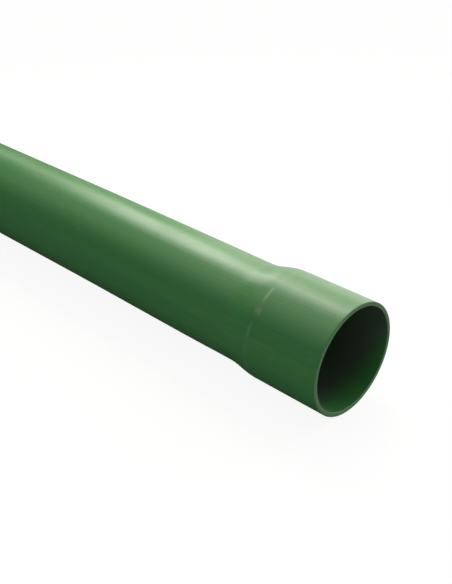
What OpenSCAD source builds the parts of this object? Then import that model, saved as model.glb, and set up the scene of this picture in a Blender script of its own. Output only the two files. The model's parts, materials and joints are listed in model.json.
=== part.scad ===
// Rigid PVC electrical conduit with a socket formed on one end
//
// It is one extruded length. The plain end, the spigot, is pushed and cemented
// into the socket of the next length. The socket is the end of the same pipe,
// warmed and opened over a mandrel, so it keeps the pipe's wall and has a smooth
// shoulder behind it.
//
// The conduit lies along X with its mouth towards +X. The origin is on the
// floor, under the middle of its length.

/* [Pipe] */
// Overall length, from the spigot's end to the mouth
length = 3000; // [500:10:6100]
// Outside diameter of the pipe
pipe_od = 60.3; // [32:0.1:114]
// Wall of the pipe, the shoulder and the socket
wall = 2.5; // [1.6:0.1:6]

/* [Socket] */
// Straight depth of the socket, from the mouth to the shoulder
socket_depth = 50; // [20:1:150]
// Gap all round between a spigot and the socket
socket_clearance = 0.4; // [0.1:0.05:1]
// Length over which the pipe opens out to the socket
shoulder_length = 20; // [6:1:80]

/* [Cut ends] */
// Bevel on the outside of the spigot
spigot_bevel = 0.8; // [0.2:0.1:1]
// Bevel on the other three cut edges
edge_break = 0.3; // [0.1:0.1:0.5]

/* [Hidden] */
// Sides of a full circle where one is drawn as a mesh
$fn = 96;
// Conical bands that make up the shoulder's curve
shoulder_bands = 12;

// Radii, from the smallest to the largest
bore_r = pipe_od / 2 - wall;
pipe_r = pipe_od / 2;
socket_r = pipe_r + socket_clearance;
bell_r = socket_r + wall;

// Places along the conduit, measured from the spigot's end
socket_floor = length - socket_depth;
shoulder_start = socket_floor - shoulder_length;

// The shoulder's S-shaped curve as [radius, place] points, level at both ends
function shoulder_curve(pipe_radius, socket_radius) = [
    for (band = [0 : shoulder_bands])
        let (t = band / shoulder_bands)
        [
            pipe_radius + (socket_radius - pipe_radius) * (1 - cos(180 * t)) / 2,
            shoulder_start + shoulder_length * t
        ]
];

function reversed(points) = [for (i = [len(points) - 1 : -1 : 0]) points[i]];

// Half of the conduit's long section: up the outside, then back down the bore
module wall_section() {
    polygon(concat(
        [[pipe_r - spigot_bevel, 0]],
        [[pipe_r, spigot_bevel]],
        shoulder_curve(pipe_r, bell_r),
        [[bell_r, length - edge_break]],
        [[bell_r - edge_break, length]],
        [[socket_r + edge_break, length]],
        [[socket_r, length - edge_break]],
        reversed(shoulder_curve(bore_r, socket_r)),
        [[bore_r, edge_break]],
        [[bore_r + edge_break, 0]]
    ));
}

// The whole length, turned from the section and laid down along X
module conduit_pipe() {
    color([0.36, 0.54, 0.36])
        translate([-length / 2, 0, bell_r])
            rotate([0, 90, 0])
                rotate_extrude()
                    wall_section();
}

conduit_pipe();
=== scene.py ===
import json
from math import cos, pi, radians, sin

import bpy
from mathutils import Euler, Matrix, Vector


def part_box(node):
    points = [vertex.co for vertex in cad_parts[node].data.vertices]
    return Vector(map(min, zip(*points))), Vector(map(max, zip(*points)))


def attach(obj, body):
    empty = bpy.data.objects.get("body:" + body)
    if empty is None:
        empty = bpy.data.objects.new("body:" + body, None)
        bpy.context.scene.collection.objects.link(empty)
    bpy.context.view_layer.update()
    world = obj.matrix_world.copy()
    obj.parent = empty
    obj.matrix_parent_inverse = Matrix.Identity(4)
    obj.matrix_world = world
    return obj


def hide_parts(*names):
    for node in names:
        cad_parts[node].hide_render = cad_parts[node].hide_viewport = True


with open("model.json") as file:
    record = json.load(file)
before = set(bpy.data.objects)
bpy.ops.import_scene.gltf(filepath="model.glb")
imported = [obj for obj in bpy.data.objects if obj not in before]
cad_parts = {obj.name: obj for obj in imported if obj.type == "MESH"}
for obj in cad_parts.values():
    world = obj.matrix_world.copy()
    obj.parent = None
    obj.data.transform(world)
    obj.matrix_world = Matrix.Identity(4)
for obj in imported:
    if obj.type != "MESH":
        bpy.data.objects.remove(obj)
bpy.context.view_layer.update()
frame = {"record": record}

# The looks of a length of green PVC electrical conduit with a formed socket.
#
# One Geometry Nodes tree draws the wall's long section, opens it out at the
# socket, turns it round the axis and adds the marks that belling leaves. One
# material is the extruded PVC, with the paler sawn ends; light and shade are partly
# painted into its colour at the crease, the cut ends and in the bore. The conduit
# lies on a light table under two softboxes and a pale tent.
#
# Every size is in metres, in the frame of the imported model: the conduit lies
# along X with its mouth towards +X, on the floor at Z 0.

MM = 0.001


# ---------------------------------------------------------------- sizes

MOUNTS = {mount["name"]: mount for mount in frame["record"]["mounts"]}


def mount_size(name, key):
    """A size of a mount, in metres."""
    return MOUNTS[name]["dims"][key] * MM


LOW, HIGH = (Vector(corner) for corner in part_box("conduit_pipe"))
MOUTH_X = HIGH.x
SPIGOT_X = LOW.x
AXIS = Vector(MOUNTS["socket"]["pos_m"]).z

PIPE_RADIUS = mount_size("spigot", "r_mm")
BORE_RADIUS = mount_size("raceway", "r_mm")
SOCKET_RADIUS = mount_size("socket", "r_mm")
WALL = PIPE_RADIUS - BORE_RADIUS
SHOULDER_START = MOUNTS["spigot"]["pos_m"][0] + mount_size("spigot", "length_mm")
SOCKET_FLOOR = MOUNTS["socket"]["pos_m"][0] - mount_size("socket", "length_mm")

# Rounding of the cut edges: deburred at the mouth and in the bore, and more on
# the outside of the spigot, which is bevelled to enter a socket
EDGE_ROUND = 0.3 * MM
SPIGOT_ROUND = 0.8 * MM

# What belling leaves: a shoulder that stands a little forward, most at the bottom,
# because the wall sprang back off the mandrel; a fine crease where the mandrel's
# parallel part ended, leaning forward at the top; a slight waist where the pipe was
# still cool beside the heated end; and a small side step there towards -Y, because the
# mandrel was a little off line
SHOULDER_MIDDLE = (SHOULDER_START + SOCKET_FLOOR) / 2
FORWARD = 1.6 * MM
LEAN = -1.2 * MM
LEAN_REACH = 42 * MM
CREASE_PLACE = SOCKET_FLOOR + 2.45 * MM
CREASE_LEAN = 1.8 * MM
CREASE_WIDTH = 1.6 * MM
CREASE_HEIGHT = 0.05 * MM
WAIST_PLACE = SHOULDER_START - 6 * MM
WAIST_WIDTH = 26 * MM
WAIST_DEPTH = 0.2 * MM
SIDE_STEP = 1.0 * MM
SIDE_REACH = 150 * MM
# How far the wall wanders in and out of a true circle, and how often in a metre along X
# and across it: one wander is some 140 mm long and 50 mm wide
WANDER_DEPTH = 0.08 * MM
WANDERS_PER_METRE = (7.0, 20.0, 20.0)
WANDER_SEED = 7.0
# How far the bore lies off the middle: extruded pipe is always a little thicker on one
# side, here the -Y side
BORE_SHIFT = 0.3 * MM

# Where the crease shows most, as (degrees from the top towards -Y, spread in degrees,
# strength). There its pale tint is partly a painted highlight.
CREASE_STROKES = [
    (30, 10, 1.0), (68, 9, 0.45), (88, 6, 0.2), (-104, 14, 0.7), (163, 20, 0.6),
]
# Elsewhere it comes and goes faintly, in patches some 13 mm long: its greatest strength,
# how many patches there are to a radius, and the noise levels between which it fades in
FAINT_CREASE = 0.22
FAINT_PATCHES = 2.6
FAINT_FROM = 0.42
FAINT_TO = 0.62


# ---------------------------------------------------------------- node helper

def add(tree, kind, settings=None, inputs=None):
    """Adds a node. settings are its properties; inputs are values for its sockets, or
    the sockets that feed them, by name or number."""
    node = tree.nodes.new(kind)
    for name, value in (settings or {}).items():
        setattr(node, name, value)
    for key, value in (inputs or {}).items():
        if isinstance(value, bpy.types.NodeSocket):
            tree.links.new(value, node.inputs[key])
        else:
            node.inputs[key].default_value = value
    return node


def colour(text):
    """An sRGB hex colour such as #3a7940 as linear RGBA."""
    parts = (int(text[i:i + 2], 16) / 255 for i in (1, 3, 5))
    linear = [p / 12.92 if p <= 0.04045 else ((p + 0.055) / 1.055) ** 2.4 for p in parts]
    return linear + [1]


# ---------------------------------------------------------------- the conduit's shape

# Sides of the turned surface, and points along a rounded edge and across a cut face
SIDES = 160
EDGE_POINTS = 5
FACE_POINTS = 6
# Points nearer to each other than this become one, where the section's lines meet
JOIN_DISTANCE = 0.004 * MM

# The section's long lines, as (end nearer the mouth, end nearer the spigot, spacing).
# They are drawn closer where the wall curves and round the crease.
CLOSE_LIMIT = SHOULDER_START - 20 * MM
CREASE_REACH = CREASE_LEAN + CREASE_WIDTH
OUTSIDE_RUNS = [
    (MOUTH_X - EDGE_ROUND, CREASE_PLACE + CREASE_REACH, 2.0 * MM),
    (CREASE_PLACE + CREASE_REACH, CREASE_PLACE - CREASE_REACH, 0.3 * MM),
    (CREASE_PLACE - CREASE_REACH, CLOSE_LIMIT, 0.8 * MM),
    (CLOSE_LIMIT, SPIGOT_X + SPIGOT_ROUND, 18 * MM),
]
BORE_RUNS = [
    (MOUTH_X - EDGE_ROUND, CREASE_PLACE + CREASE_REACH, 2.5 * MM),
    (CREASE_PLACE + CREASE_REACH, CREASE_PLACE - CREASE_REACH, 0.6 * MM),
    (CREASE_PLACE - CREASE_REACH, CLOSE_LIMIT, 1.5 * MM),
    (CLOSE_LIMIT, SPIGOT_X + EDGE_ROUND, 36 * MM),
]

WALL_INPUTS = {
    "Bore Radius": BORE_RADIUS,
    "Wall": WALL,
    "Shoulder Start": SHOULDER_START,
    "Shoulder Length": SOCKET_FLOOR - SHOULDER_START,
    "Opening": SOCKET_RADIUS - BORE_RADIUS,
    "Axis Height": AXIS,
    "Shoulder Middle": SHOULDER_MIDDLE,
    "Forward": FORWARD,
    "Lean": LEAN,
    "Lean Reach": LEAN_REACH,
    "Crease Place": CREASE_PLACE,
    "Crease Lean": CREASE_LEAN,
    "Crease Width": CREASE_WIDTH,
    "Crease Height": CREASE_HEIGHT,
    "Waist Place": WAIST_PLACE,
    "Waist Width": WAIST_WIDTH,
    "Waist Depth": WAIST_DEPTH,
    "Side Step": SIDE_STEP,
    "Side Reach": SIDE_REACH,
    "Wander Depth": WANDER_DEPTH,
    "Bore Shift": BORE_SHIFT,
}


def section_line(tree, start, end, points):
    """A straight stretch of the section from start to end, both (x, height) sockets or
    numbers."""
    first, last = (
        add(tree, "ShaderNodeCombineXYZ", inputs={0: x, 1: height}).outputs[0]
        for x, height in (start, end))
    line = add(tree, "GeometryNodeCurvePrimitiveLine", inputs={"Start": first, "End": last})
    even = add(tree, "GeometryNodeResampleCurve", inputs={
        "Curve": line.outputs[0], "Count": points})
    return even.outputs[0]


def section_corner(tree, centre_x, centre_height, radius, start_angle):
    """A rounded corner of the section: a quarter turn about its centre."""
    arc = add(tree, "GeometryNodeCurveArc", inputs={
        "Resolution": EDGE_POINTS, "Radius": radius,
        "Start Angle": start_angle, "Sweep Angle": pi / 2})
    place = add(tree, "ShaderNodeCombineXYZ", inputs={0: centre_x, 1: centre_height})
    moved = add(tree, "GeometryNodeTransform", inputs={
        "Geometry": arc.outputs[0], "Translation": place.outputs[0]})
    return moved.outputs[0]


def wall_section(tree, wall):
    """The wall's outline, straight and flat, its height counted from the bore. It runs
    anticlockwise, which makes the turned surface face outwards. Each point is marked with
    how deep it lies in the wall, from 0 on the outside to 1 in the bore."""
    def below(drop):
        lower = add(tree, "ShaderNodeMath", {"operation": "SUBTRACT"}, {0: wall, 1: drop})
        return lower.outputs[0]

    lines = []
    for near, far, spacing in OUTSIDE_RUNS:
        points = round((near - far) / spacing) + 1
        lines.append(section_line(tree, (near, wall), (far, wall), points))
    for near, far, spacing in BORE_RUNS:
        points = round((near - far) / spacing) + 1
        lines.append(section_line(tree, (far, 0.0), (near, 0.0), points))
    lines.append(section_line(
        tree, (SPIGOT_X, below(SPIGOT_ROUND)), (SPIGOT_X, EDGE_ROUND), FACE_POINTS))
    lines.append(section_line(
        tree, (MOUTH_X, EDGE_ROUND), (MOUTH_X, below(EDGE_ROUND)), FACE_POINTS))
    for centre_x, centre_height, radius, start_angle in (
        (MOUTH_X - EDGE_ROUND, below(EDGE_ROUND), EDGE_ROUND, 0),
        (SPIGOT_X + SPIGOT_ROUND, below(SPIGOT_ROUND), SPIGOT_ROUND, pi / 2),
        (SPIGOT_X + EDGE_ROUND, EDGE_ROUND, EDGE_ROUND, pi),
        (MOUTH_X - EDGE_ROUND, EDGE_ROUND, EDGE_ROUND, 3 * pi / 2),
    ):
        lines.append(section_corner(tree, centre_x, centre_height, radius, start_angle))
    joined = add(tree, "GeometryNodeJoinGeometry")
    for line in lines:
        tree.links.new(line, joined.inputs[0])
    place = add(tree, "GeometryNodeInputPosition")
    parts = add(tree, "ShaderNodeSeparateXYZ", inputs={0: place.outputs[0]})
    depth = add(tree, "ShaderNodeMapRange", inputs={
        "Value": parts.outputs["Y"], "From Min": wall, "From Max": 0.0})
    marked = add(tree, "GeometryNodeStoreNamedAttribute", {"data_type": "FLOAT"}, {
        "Geometry": joined.outputs[0], "Name": "depth", "Value": depth.outputs[0]})
    return marked.outputs[0]


def opened_section(tree, section, sizes):
    """Lifts the section over the shoulder by half a cosine wave."""
    place = add(tree, "GeometryNodeInputPosition")
    along = add(tree, "ShaderNodeSeparateXYZ", inputs={0: place.outputs[0]})
    end = add(tree, "ShaderNodeMath", {"operation": "ADD"}, {
        0: sizes["Shoulder Start"], 1: sizes["Shoulder Length"]})
    turn = add(tree, "ShaderNodeMapRange", inputs={
        "Value": along.outputs["X"], "From Min": sizes["Shoulder Start"],
        "From Max": end.outputs[0], "To Min": 0.0, "To Max": pi})
    wave = add(tree, "ShaderNodeMath", {"operation": "COSINE"}, {0: turn.outputs[0]})
    lift = add(tree, "ShaderNodeMapRange", inputs={
        "Value": wave.outputs[0], "From Min": 1.0, "From Max": -1.0,
        "To Min": 0.0, "To Max": sizes["Opening"]})
    offset = add(tree, "ShaderNodeCombineXYZ", inputs={1: lift.outputs[0]})
    opened = add(tree, "GeometryNodeSetPosition", inputs={
        "Geometry": section, "Offset": offset.outputs[0]})
    return opened.outputs[0]


def ring_of(tree, along, place, width, height):
    """A smooth ring of the given height, fading out over its width to each side."""
    away = add(tree, "ShaderNodeMath", {"operation": "SUBTRACT"}, {0: along, 1: place})
    away = add(tree, "ShaderNodeMath", {"operation": "ABSOLUTE"}, {0: away.outputs[0]})
    ring = add(tree, "ShaderNodeMapRange", {"interpolation_type": "SMOOTHSTEP"}, {
        "Value": away.outputs[0], "From Min": width, "From Max": 0.0,
        "To Min": 0.0, "To Max": height})
    return ring.outputs[0]


def side_step(tree, along, sizes):
    """How far the pipe stands to one side: not at all in the socket, most at the shoulder's
    start, and from there less and less along the pipe."""
    socket_floor = add(tree, "ShaderNodeMath", {"operation": "ADD"}, {
        0: sizes["Shoulder Start"], 1: sizes["Shoulder Length"]})
    full = add(tree, "ShaderNodeMapRange", {"interpolation_type": "SMOOTHSTEP"}, {
        "Value": along, "From Min": socket_floor.outputs[0],
        "From Max": sizes["Shoulder Start"], "To Min": 0.0, "To Max": sizes["Side Step"]})
    far = add(tree, "ShaderNodeMath", {"operation": "SUBTRACT"}, {
        0: sizes["Shoulder Start"], 1: sizes["Side Reach"]})
    left = add(tree, "ShaderNodeMapRange", {"interpolation_type": "SMOOTHSTEP"}, {
        "Value": along, "From Min": far.outputs[0], "From Max": sizes["Shoulder Start"]})
    return add(tree, "ShaderNodeMath", {"operation": "MULTIPLY"}, {
        0: full.outputs[0], 1: left.outputs[0]}).outputs[0]


def way_out(tree, place):
    """The direction from the axis to each place, which is counted from the axis, and the
    place's parts along X, Y and Z."""
    parts = add(tree, "ShaderNodeSeparateXYZ", inputs={0: place}).outputs
    across = add(tree, "ShaderNodeCombineXYZ", inputs={1: parts["Y"], 2: parts["Z"]})
    outwards = add(tree, "ShaderNodeVectorMath", {"operation": "NORMALIZE"}, {
        0: across.outputs[0]})
    return outwards.outputs[0], parts


def crease_of(tree, along, outwards, place, lean, width, seed):
    """How strongly the crease shows, from 0 to 1."""
    height = add(tree, "ShaderNodeSeparateXYZ", inputs={0: outwards}).outputs["Z"]
    leaning = add(tree, "ShaderNodeMath", {"operation": "MULTIPLY_ADD"}, {
        0: height, 1: lean, 2: place})
    uneven = add(tree, "ShaderNodeTexNoise", {"noise_dimensions": "4D"}, {
        "Vector": outwards, "W": seed, "Scale": FAINT_PATCHES, "Detail": 2.0})
    strength = add(tree, "ShaderNodeMapRange", inputs={
        "Value": uneven.outputs[0], "From Min": FAINT_FROM, "From Max": FAINT_TO,
        "To Min": 0.0, "To Max": FAINT_CREASE}).outputs[0]
    for angle, spread, amount in CREASE_STROKES:
        turn = radians(angle)
        facing = add(tree, "ShaderNodeVectorMath", {"operation": "DOT_PRODUCT"}, {
            0: outwards, 1: (0, -sin(turn), cos(turn))})
        stroke = add(tree, "ShaderNodeMapRange", {"interpolation_type": "SMOOTHSTEP"}, {
            "Value": facing.outputs["Value"], "From Min": cos(radians(spread)),
            "From Max": 1.0, "To Min": 0.0, "To Max": amount})
        strength = add(tree, "ShaderNodeMath", {"operation": "MAXIMUM"}, {
            0: strength, 1: stroke.outputs[0]}).outputs[0]
    ring = ring_of(tree, along, leaning.outputs[0], width, 1.0)
    crease = add(tree, "ShaderNodeMath", {"operation": "MULTIPLY"}, {0: ring, 1: strength})
    return crease.outputs[0]


def askew(tree, shell, sizes):
    """Moves the shell as the mandrel left it: along the axis by the shoulder's lean, which
    fades out to both sides of it, and by the side step towards -Y."""
    place = add(tree, "GeometryNodeInputPosition").outputs[0]
    outwards, parts = way_out(tree, place)
    reach = ring_of(tree, parts["X"], sizes["Shoulder Middle"], sizes["Lean Reach"], 1.0)
    upwards = add(tree, "ShaderNodeSeparateXYZ", inputs={0: outwards}).outputs["Z"]
    forwards = add(tree, "ShaderNodeMath", {"operation": "MULTIPLY_ADD"}, {
        0: upwards, 1: sizes["Lean"], 2: sizes["Forward"]})
    forwards = add(tree, "ShaderNodeMath", {"operation": "MULTIPLY"}, {
        0: reach, 1: forwards.outputs[0]})
    aside = add(tree, "ShaderNodeMath", {"operation": "MULTIPLY"}, {
        0: side_step(tree, parts["X"], sizes), 1: -1.0})
    offset = add(tree, "ShaderNodeCombineXYZ", inputs={
        0: forwards.outputs[0], 1: aside.outputs[0]})
    moved = add(tree, "GeometryNodeSetPosition", inputs={
        "Geometry": shell, "Offset": offset.outputs[0]})
    return moved.outputs[0]


def with_marks(tree, shell, sizes):
    """Moves the wall out at the crease and in at the waist and where it wanders, and the
    bore off the middle. Everything hangs from the crease's full height, so nothing stands
    proud of the socket."""
    place = add(tree, "GeometryNodeInputPosition").outputs[0]
    outwards, parts = way_out(tree, place)
    showing = crease_of(
        tree, parts["X"], outwards, sizes["Crease Place"], sizes["Crease Lean"],
        sizes["Crease Width"], sizes["Seed"])
    crease = add(tree, "ShaderNodeMath", {"operation": "MULTIPLY"}, {
        0: showing, 1: sizes["Crease Height"]})
    waist = ring_of(
        tree, parts["X"], sizes["Waist Place"], sizes["Waist Width"], sizes["Waist Depth"])
    stretched = add(tree, "ShaderNodeVectorMath", {"operation": "MULTIPLY"}, {
        0: place, 1: WANDERS_PER_METRE})
    wander = add(tree, "ShaderNodeTexNoise", {"noise_dimensions": "4D"}, {
        "Vector": stretched.outputs[0], "W": sizes["Seed"], "Scale": 1.0, "Detail": 1.0})
    wander = add(tree, "ShaderNodeMath", {"operation": "MULTIPLY"}, {
        0: wander.outputs[0], 1: sizes["Wander Depth"]})
    move = crease.outputs[0]
    for drop in (sizes["Crease Height"], waist, wander.outputs[0]):
        move = add(tree, "ShaderNodeMath", {"operation": "SUBTRACT"}, {
            0: move, 1: drop}).outputs[0]
    offset = add(tree, "ShaderNodeVectorMath", {"operation": "SCALE"}, {
        0: outwards, "Scale": move})
    depth = add(tree, "GeometryNodeInputNamedAttribute", {"data_type": "FLOAT"}, {
        "Name": "depth"})
    shift = add(tree, "ShaderNodeCombineXYZ", inputs={1: sizes["Bore Shift"]})
    offset = add(tree, "ShaderNodeVectorMath", {"operation": "MULTIPLY_ADD"}, {
        0: shift.outputs[0], 1: depth.outputs["Attribute"], 2: offset.outputs[0]})
    moved = add(tree, "GeometryNodeSetPosition", inputs={
        "Geometry": shell, "Offset": offset.outputs[0]})
    return moved.outputs[0]


def wall_tree():
    """The tree that makes the whole conduit."""
    tree = bpy.data.node_groups.new("Belled conduit wall", "GeometryNodeTree")
    tree.interface.new_socket("Geometry", in_out="OUTPUT", socket_type="NodeSocketGeometry")
    for name in WALL_INPUTS:
        tree.interface.new_socket(name, in_out="INPUT", socket_type="NodeSocketFloat")
    tree.interface.new_socket("Sides", in_out="INPUT", socket_type="NodeSocketInt")
    tree.interface.new_socket("Seed", in_out="INPUT", socket_type="NodeSocketFloat")
    tree.interface.new_socket("Material", in_out="INPUT", socket_type="NodeSocketMaterial")
    sizes = add(tree, "NodeGroupInput").outputs

    section = opened_section(tree, wall_section(tree, sizes["Wall"]), sizes)
    circle = add(tree, "GeometryNodeCurvePrimitiveCircle", inputs={
        "Resolution": sizes["Sides"], "Radius": sizes["Bore Radius"]})
    upright = add(tree, "GeometryNodeTransform", inputs={
        "Geometry": circle.outputs[0], "Rotation": (0, pi / 2, 0)})
    turned = add(tree, "GeometryNodeCurveToMesh", inputs={
        "Curve": upright.outputs[0], "Profile Curve": section})
    closed = add(tree, "GeometryNodeMergeByDistance", inputs={
        "Geometry": turned.outputs[0], "Distance": JOIN_DISTANCE})
    shell = with_marks(tree, askew(tree, closed.outputs[0], sizes), sizes)
    height = add(tree, "ShaderNodeCombineXYZ", inputs={2: sizes["Axis Height"]})
    laid = add(tree, "GeometryNodeTransform", inputs={
        "Geometry": shell, "Translation": height.outputs[0]})
    smooth = add(tree, "GeometryNodeSetShadeSmooth", inputs={"Geometry": laid.outputs[0]})
    real = add(tree, "GeometryNodeRealizeInstances", inputs={"Geometry": smooth.outputs[0]})
    finished = add(tree, "GeometryNodeSetMaterial", inputs={
        "Geometry": real.outputs[0], "Material": sizes["Material"]})
    add(tree, "NodeGroupOutput", inputs={0: finished.outputs[0]})
    return tree


def made_by(tree, values, name):
    """A plain mesh object with what the tree makes from the values of its inputs."""
    maker = bpy.data.objects.new(name + "_maker", bpy.data.meshes.new(name + "_maker"))
    bpy.context.scene.collection.objects.link(maker)
    modifier = maker.modifiers.new("Maker", "NODES")
    modifier.node_group = tree
    for item in tree.interface.items_tree:
        if item.item_type == "SOCKET" and item.in_out == "INPUT":
            modifier[item.identifier] = values[item.name]
    maker.update_tag()
    evaluated = maker.evaluated_get(bpy.context.evaluated_depsgraph_get())
    mesh = bpy.data.meshes.new_from_object(evaluated)
    mesh.name = name
    bpy.data.objects.remove(maker)
    piece = bpy.data.objects.new(name, mesh)
    bpy.context.scene.collection.objects.link(piece)
    return piece


# ---------------------------------------------------------------- the PVC

# A wave texture repeats every pi / 10 of its own units
WAVE_LENGTH = pi / 10

# A rub mark beside the crease: its angle from the top towards -Y, its place along X, how
# far from its middle it ends and is full, and how coarse it is
RUB_ANGLE = radians(49)
RUB_PLACE = MOUTH_X - 45.8 * MM
RUB_SPREAD = 3.4 * MM
RUB_CORE = 0.4 * MM
RUB_GRAIN = 1.6 * MM

# The bloom inside, partly dust and partly painted shade that darkens the bore further in,
# level with the axis: where it would start, which is past the ends, and where it is full,
# both counted from the conduit's middle, and how much nearer the ends it comes with each
# unit of height
SHADED_BLOOM_START = MOUTH_X + 5.6 * MM
SHADED_BLOOM_FULL = MOUTH_X - 8.4 * MM
SHADED_BLOOM_LEAN = 0.4
# It fades in from this depth in the wall, which is 0 outside and 1 in the bore
BORE_DEPTH = 0.95

# The sawn ends: how near the end a place is sawn in full, how far apart the saw's marks
# are, and how far they are turned
SAWN_REACH = 0.2 * MM
SAW_PITCH = 0.7 * MM
SAW_TURN = radians(24)

# The skin's roughness where nothing adds to it
SKIN_ROUGHNESS = 0.29


def lengthwise(tree, place, outwards, length, width):
    """Where to read a pattern that is drawn out along the conduit, its marks about length
    long and width wide. It counts round the pipe by direction, so that the marks run on
    straight over the shoulder."""
    round_it = add(tree, "ShaderNodeVectorMath", {"operation": "SCALE"}, {
        0: outwards, "Scale": PIPE_RADIUS / width})
    drawn = add(tree, "ShaderNodeVectorMath", {"operation": "MULTIPLY_ADD"}, {
        0: place, 1: (1 / length, 0, 0), 2: round_it.outputs[0]})
    return drawn.outputs[0]


def mottle(tree, place, size, detail, low, high):
    """Soft patches about size across, 0 where the noise is below low and 1 above high."""
    noise = add(tree, "ShaderNodeTexNoise", inputs={
        "Vector": place, "Scale": 1 / size, "Detail": detail})
    patches = add(tree, "ShaderNodeMapRange", {"interpolation_type": "SMOOTHSTEP"}, {
        "Value": noise.outputs[0], "From Min": low, "From Max": high})
    return patches.outputs[0]


def built_up(tree, total, layers):
    """total with layers of (mask, amount) added, each in full where its mask is 1."""
    for mask, amount in layers:
        total = add(tree, "ShaderNodeMath", {"operation": "MULTIPLY_ADD"}, {
            0: mask, 1: amount, 2: total}).outputs[0]
    return total


def tinted(tree, base, tints):
    """The base colour under washes of (mask, share, hex colour), each as strong as its
    share where its mask is 1."""
    for mask, share, tint in tints:
        strength = add(tree, "ShaderNodeMath", {"operation": "MULTIPLY"}, {
            0: mask, 1: share})
        base = add(tree, "ShaderNodeMix", {"data_type": "RGBA"}, {
            0: strength.outputs[0], 6: base, 7: colour(tint)}).outputs[2]
    return base


def rub_mark(tree, place):
    """Where the skin was rubbed beside the crease."""
    outside = SOCKET_RADIUS + WALL
    middle = (RUB_PLACE, -outside * sin(RUB_ANGLE), outside * cos(RUB_ANGLE))
    away = add(tree, "ShaderNodeVectorMath", {"operation": "DISTANCE"}, {
        0: place, 1: middle})
    spot = add(tree, "ShaderNodeMapRange", {"interpolation_type": "SMOOTHSTEP"}, {
        "Value": away.outputs["Value"], "From Min": RUB_SPREAD, "From Max": RUB_CORE})
    uneven = mottle(tree, place, size=RUB_GRAIN, detail=1, low=0.2, high=0.6)
    rub = add(tree, "ShaderNodeMath", {"operation": "MULTIPLY"}, {
        0: spot.outputs[0], 1: uneven})
    return rub.outputs[0]


def bore_bloom_and_shade(tree, off_middle, height, depth):
    """Where the bore has its grey bloom, partly dust and partly painted shade. It starts
    nearer the ends higher up and further in lower down, so the painted shade spares the lit
    floor near the mouth."""
    wiped = add(tree, "ShaderNodeMath", {"operation": "MULTIPLY_ADD"}, {
        0: height, 1: -SHADED_BLOOM_LEAN, 2: off_middle})
    far_in = add(tree, "ShaderNodeMapRange", {"interpolation_type": "SMOOTHSTEP"}, {
        "Value": wiped.outputs[0], "From Min": SHADED_BLOOM_START, "From Max": SHADED_BLOOM_FULL})
    in_bore = add(tree, "ShaderNodeMapRange", inputs={
        "Value": depth, "From Min": BORE_DEPTH, "From Max": 1.0})
    bloom_and_shade = add(tree, "ShaderNodeMath", {"operation": "MULTIPLY"}, {
        0: far_in.outputs[0], 1: in_bore.outputs[0]})
    return bloom_and_shade.outputs[0]


def saw_cut(tree, place, off_middle):
    """Where the ends are sawn, and the marks that the saw left there."""
    sawn = add(tree, "ShaderNodeMapRange", inputs={
        "Value": off_middle, "From Min": MOUTH_X - EDGE_ROUND,
        "From Max": MOUTH_X - SAWN_REACH}).outputs[0]
    across_saw = add(tree, "ShaderNodeMapping", inputs={
        "Vector": place, "Rotation": (SAW_TURN, 0, 0)})
    wave = add(tree, "ShaderNodeTexWave", {"bands_direction": "Y"}, {
        "Vector": across_saw.outputs[0], "Scale": WAVE_LENGTH / SAW_PITCH,
        "Distortion": 3.0, "Detail": 2.0, "Detail Scale": 0.6})
    marks = add(tree, "ShaderNodeMath", {"operation": "MULTIPLY"}, {
        0: wave.outputs["Fac"], 1: sawn})
    return sawn, marks.outputs[0]


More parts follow.
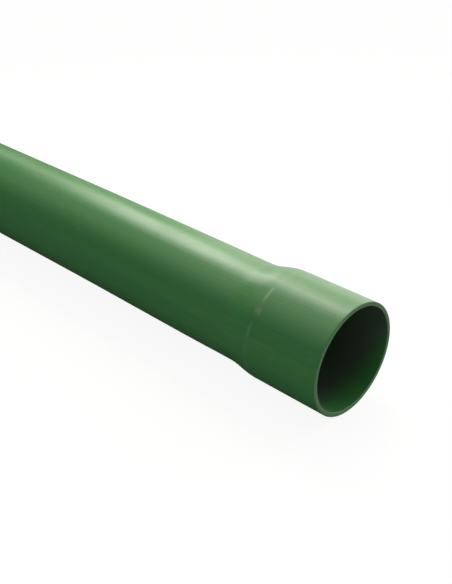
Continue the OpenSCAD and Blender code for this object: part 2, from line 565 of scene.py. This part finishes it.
def pvc():
    """Extruded rigid PVC, pigmented green right through, with a satin skin from the die.
    The eye gets an even deep green, a soft wide highlight that faint draw lines break up
    along the length, a pale crease on the socket that is partly stretched whitening and
    partly a painted highlight, a grey bloom in the bore that is partly dust and partly
    painted shade, and paler, rougher faces with saw marks at the cut ends, painted darker
    at the outer edge and lighter at the inner edge."""
    material = bpy.data.materials.new("Extruded green PVC")
    material.use_nodes = True
    tree = material.node_tree
    tree.nodes.clear()
    objects = add(tree, "ShaderNodeTexCoord")
    place = add(tree, "ShaderNodeMapping", inputs={
        "Vector": objects.outputs["Object"], "Location": (0, 0, -AXIS)}).outputs[0]
    outwards, parts = way_out(tree, place)
    off_middle = add(tree, "ShaderNodeMath", {"operation": "ABSOLUTE"}, {
        0: parts["X"]}).outputs[0]
    depth = add(tree, "ShaderNodeAttribute", {
        "attribute_type": "GEOMETRY", "attribute_name": "depth"}).outputs["Fac"]

    # Draw lines from the die, 1 mm wide. Most real ones are finer, too fine to show.
    along_lines = lengthwise(tree, place, outwards, length=220 * MM, width=1.0 * MM)
    lines = mottle(tree, along_lines, size=1, detail=1.5, low=0.35, high=0.65)
    # Pigment streaks, 11 mm wide, where the melt flowed round the die's spider legs
    along_streaks = lengthwise(tree, place, outwards, length=300 * MM, width=11 * MM)
    streaks = mottle(tree, along_streaks, size=1, detail=1, low=0.32, high=0.68)
    # The skin's satin grain, drawn at 0.7 mm for the same reason as the draw lines
    grain = mottle(tree, place, size=0.7 * MM, detail=2, low=0.3, high=0.7)
    # Patches that handling and stacking left a little duller, 30 mm across
    dulled = mottle(tree, place, size=30 * MM, detail=2, low=0.4, high=0.66)
    # Hairline scuffs 12 mm long from sliding in the bundle, only in some places
    along_scuffs = lengthwise(tree, place, outwards, length=12 * MM, width=0.6 * MM)
    scuffs = add(tree, "ShaderNodeMath", {"operation": "MULTIPLY"}, {
        0: mottle(tree, along_scuffs, size=1, detail=0, low=0.66, high=0.76),
        1: mottle(tree, place, size=70 * MM, detail=1, low=0.5, high=0.62)}).outputs[0]
    # The crease, whitened where the warm wall stretched, with a painted highlight along it
    # that is strongest in its strokes, and what else marks the wall
    crease = crease_of(
        tree, parts["X"], outwards, CREASE_PLACE, CREASE_LEAN, CREASE_WIDTH, WANDER_SEED)
    rub = rub_mark(tree, place)
    bloom_and_shade = bore_bloom_and_shade(tree, off_middle, parts["Z"], depth)
    sawn, saw_marks = saw_cut(tree, place, off_middle)

    body = add(tree, "ShaderNodeMix", {"data_type": "RGBA"}, {
        0: streaks, 6: colour("#377b42"), 7: colour("#3d803f")})
    body = tinted(tree, body.outputs[2], [
        (lines, 0.18, "#366e3b"),
        (scuffs, 0.11, "#7e9f80"),
        # the crease's pale tint is partly stress whitening and partly a painted highlight
        (crease, 0.46, "#8ab08d"),
        (rub, 0.28, "#9ca590"),
        # the bore's grey bloom is partly dust and partly painted shade, darker further in
        (bloom_and_shade, 0.80, "#4c524c"),
    ])
    # The cut is paler than the skin, and a painted highlight makes it palest at the
    # deburred inner edge and darker towards the outer edge
    cut_with_painted_light = add(tree, "ShaderNodeMix", {"data_type": "RGBA"}, {
        0: depth, 6: colour("#3d6f42"), 7: colour("#57865b")})
    cut_with_painted_light = tinted(tree, cut_with_painted_light.outputs[2], [(saw_marks, 0.30, "#7ba480")])
    skin = add(tree, "ShaderNodeMix", {"data_type": "RGBA"}, {0: sawn, 6: body, 7: cut_with_painted_light})

    roughness = built_up(tree, SKIN_ROUGHNESS, [
        (lines, 0.03), (grain, 0.03), (dulled, 0.05), (scuffs, 0.16), (rub, 0.10),
        (bloom_and_shade, 0.15), (sawn, 0.22),
    ])
    # Heights in millimetres
    height = built_up(tree, 0.0, [
        (lines, 0.008), (grain, 0.004), (scuffs, -0.012), (saw_marks, 0.030),
    ])
    relief = add(tree, "ShaderNodeBump", inputs={"Height": height, "Distance": MM})

    surface = add(tree, "ShaderNodeBsdfPrincipled", inputs={
        "Base Color": skin.outputs[2], "Roughness": roughness, "IOR": 1.54,
        "Normal": relief.outputs[0]})
    add(tree, "ShaderNodeOutputMaterial", inputs={0: surface.outputs[0]})
    return material


# ---------------------------------------------------------------- camera, light and floor

# The view: the camera's bearing and height in degrees, its focal length and its film's
# width in millimetres, and where the middle of the mouth stands as the camera sees it
# (right, up, towards the camera)
AZIMUTH = 43.93
ELEVATION = 30.23
LENS = 54.65
FILM_WIDTH = 36
MOUTH_IN_VIEW = Vector((0.0671, -0.0359, -0.4665))


def camera():
    """The camera, placed from where it sees the middle of the mouth."""
    data = bpy.data.cameras.new("Camera")
    data.lens = LENS
    data.sensor_width = FILM_WIDTH
    data.clip_start = 0.02
    data.clip_end = 50
    place = bpy.data.objects.new("Camera", data)
    turn = Euler((radians(90 - ELEVATION), 0, radians(AZIMUTH)))
    place.rotation_euler = turn
    place.location = Vector((MOUTH_X, 0, AXIS)) - turn.to_matrix() @ MOUTH_IN_VIEW
    bpy.context.scene.collection.objects.link(place)
    bpy.context.scene.camera = place


# Half the floor's side
FLOOR_HALF = 8.0
# The floor is a light table to the eye: a grey that keeps the conduit's shadow, and the
# glow that lifts it to white
TABLE_GREY = "#595959"
TABLE_GLOW = 0.91
# To the light it is a dark cloth, with a glow that lights matt surfaces and one that
# shows in gloss
CLOTH_GREY = "#3f3f3f"
CLOTH_GLOW = 0.50
CLOTH_GLOSS = 0.02
# White cards that lie on the cloth behind the conduit, as (middle, radius, brightness).
# They fade towards their edges and show only in the gloss.
FLOOR_CARDS = [
    ((MOUTH_X - 0.48, 0.80, 0), 0.66, 1.8),
    ((MOUTH_X - 0.16, 0.37, 0), 0.32, 1.7),
]


def light_table():
    """What the floor is made of: a glowing white table to the eye, which keeps the
    conduit's shadow, and to the light a dark cloth with white cards on it."""
    material = bpy.data.materials.new("Light table")
    material.use_nodes = True
    tree = material.node_tree
    tree.nodes.clear()
    path = add(tree, "ShaderNodeLightPath")
    shade = add(tree, "ShaderNodeBsdfDiffuse", inputs={"Color": colour(TABLE_GREY)})
    glow = add(tree, "ShaderNodeEmission", inputs={
        "Color": colour("#ffffff"), "Strength": TABLE_GLOW})
    table = add(tree, "ShaderNodeAddShader", inputs={
        0: shade.outputs[0], 1: glow.outputs[0]})

    place = add(tree, "ShaderNodeTexCoord")
    cards = CLOTH_GLOSS
    for middle, radius, brightness in FLOOR_CARDS:
        away = add(tree, "ShaderNodeVectorMath", {"operation": "DISTANCE"}, {
            0: place.outputs["Object"], 1: middle})
        round_card = add(tree, "ShaderNodeMapRange", {"interpolation_type": "SMOOTHSTEP"}, {
            "Value": away.outputs["Value"], "From Min": radius, "From Max": 0.0})
        cards = add(tree, "ShaderNodeMath", {"operation": "MULTIPLY_ADD"}, {
            0: round_card.outputs[0], 1: brightness, 2: cards}).outputs[0]
    to_gloss = add(tree, "ShaderNodeMath", {"operation": "MULTIPLY"}, {
        0: cards, 1: path.outputs["Is Glossy Ray"]})
    glowing = add(tree, "ShaderNodeMath", {"operation": "MULTIPLY_ADD"}, {
        0: path.outputs["Is Diffuse Ray"], 1: CLOTH_GLOW, 2: to_gloss.outputs[0]})
    dark = add(tree, "ShaderNodeBsdfDiffuse", inputs={"Color": colour(CLOTH_GREY)})
    card = add(tree, "ShaderNodeEmission", inputs={
        "Color": colour("#ffffff"), "Strength": glowing.outputs[0]})
    cloth = add(tree, "ShaderNodeAddShader", inputs={
        0: dark.outputs[0], 1: card.outputs[0]})

    either = add(tree, "ShaderNodeMixShader", inputs={
        0: path.outputs["Is Camera Ray"], 1: cloth.outputs[0], 2: table.outputs[0]})
    add(tree, "ShaderNodeOutputMaterial", inputs={0: either.outputs[0]})
    return material


def floor():
    """The floor that the conduit lies on."""
    mesh = bpy.data.meshes.new("Floor")
    half = FLOOR_HALF
    corners = [(-half, -half, 0), (half, -half, 0), (half, half, 0), (-half, half, 0)]
    mesh.from_pydata(corners, [], [(0, 1, 2, 3)])
    mesh.materials.append(light_table())
    table = bpy.data.objects.new("Floor", mesh)
    bpy.context.scene.collection.objects.link(table)


# The key light's colour, a very little warm
KEY_COLOUR = (0.99, 1.0, 0.89)

# The two softboxes over the socket's end, as their middles, their sides along and
# across the conduit, and their radiance. Both face the shoulder.
SOFTBOXES = [
    (Vector((MOUTH_X - 0.44, 0.215, 0.355)), (0.22, 0.25), 4.1),
    (Vector((MOUTH_X - 0.10, 0.14, 0.175)), (0.35, 0.28), 1.0),
]
SOFTBOX_AIM = Vector((MOUTH_X - 0.08, 0, AXIS))


def softbox(place, sides, radiance):
    """A rectangular softbox, square to the line from its middle to the shoulder."""
    data = bpy.data.lights.new("Softbox", "AREA")
    data.shape = "RECTANGLE"
    data.size, data.size_y = sides
    data.color = KEY_COLOUR
    data.energy = radiance * pi * data.size * data.size_y
    lamp = bpy.data.objects.new("Softbox", data)
    back = (place - SOFTBOX_AIM).normalized()
    along = Vector((1, 0, 0))
    along = (along - along.dot(back) * back).normalized()
    turn = Matrix((along, back.cross(along), back)).transposed()
    lamp.matrix_world = Matrix.Translation(place) @ turn.to_4x4()
    lamp.visible_camera = False
    bpy.context.scene.collection.objects.link(lamp)


# The soft lights of the tent: direction, tightness, radiance and colour. The fill only
# lights, and doesn't show in the gloss.
SOFT_LIGHTS = [
    ((-0.445, 0.41, 0.80), 46, 6.1, (1.09, 1.0, 0.90)),
    ((-0.81, 0.465, 0.355), 155, 1.9, (1.09, 1.0, 0.90)),
    ((0.20, 0.98, 0.08), 4.7, 3.3, (1.20, 0.95, 0.98)),
    ((-0.46, -0.24, 0.86), 13, 1.33, (1.13, 1.0, 0.97)),
    ((0.80, -0.10, 0.59), 5, 0.35, (1.0, 1.0, 1.0)),
]
FILL_LIGHT = ((-0.28, -0.91, 0.29), 4, 0.71, (0.88, 1.0, 0.96))


def tent():
    """The world: white to the eye. To the conduit it is a tent, bright behind and above
    and dark in front, which models the round of the pipe. Nothing here is metal or glass,
    so the gloss shows the tent and not the white, which would wash out the dark side."""
    world = bpy.data.worlds.new("Tent")
    bpy.context.scene.world = world
    world.use_nodes = True
    tree = world.node_tree
    tree.nodes.clear()
    path = add(tree, "ShaderNodeLightPath")
    direction = add(tree, "ShaderNodeTexCoord")

    def soft_light(towards, tightness, radiance, hue):
        facing = add(tree, "ShaderNodeVectorMath", {"operation": "DOT_PRODUCT"}, {
            0: direction.outputs["Generated"], 1: Vector(towards).normalized()})
        fade = add(tree, "ShaderNodeMath", {"operation": "MULTIPLY_ADD"}, {
            0: facing.outputs["Value"], 1: tightness, 2: -tightness})
        spot = add(tree, "ShaderNodeMath", {"operation": "EXPONENT"}, {0: fade.outputs[0]})
        light = add(tree, "ShaderNodeVectorMath", {"operation": "SCALE"}, {
            0: Vector(hue) * radiance, "Scale": spot.outputs[0]})
        return light.outputs[0]

    total = add(tree, "ShaderNodeVectorMath", {"operation": "SCALE"}, {
        0: soft_light(*FILL_LIGHT), "Scale": path.outputs["Is Diffuse Ray"]}).outputs[0]
    for light in SOFT_LIGHTS:
        total = add(tree, "ShaderNodeVectorMath", {"operation": "ADD"}, {
            0: total, 1: soft_light(*light)}).outputs[0]
    seen = add(tree, "ShaderNodeMix", {"data_type": "RGBA"}, {
        0: path.outputs["Is Camera Ray"], 6: total, 7: colour("#ffffff")})
    glow = add(tree, "ShaderNodeBackground", inputs={
        "Color": seen.outputs[2], "Strength": 1.0})
    add(tree, "ShaderNodeOutputWorld", inputs={0: glow.outputs[0]})


# ---------------------------------------------------------------- putting it together

camera()
floor()
for box in SOFTBOXES:
    softbox(*box)
tent()

values = dict(WALL_INPUTS, Sides=SIDES, Seed=WANDER_SEED, Material=pvc())
conduit = made_by(wall_tree(), values, "conduit_pvc")
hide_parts("conduit_pipe")
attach(conduit, "root")

bpy.context.scene.view_settings.view_transform = "Standard"
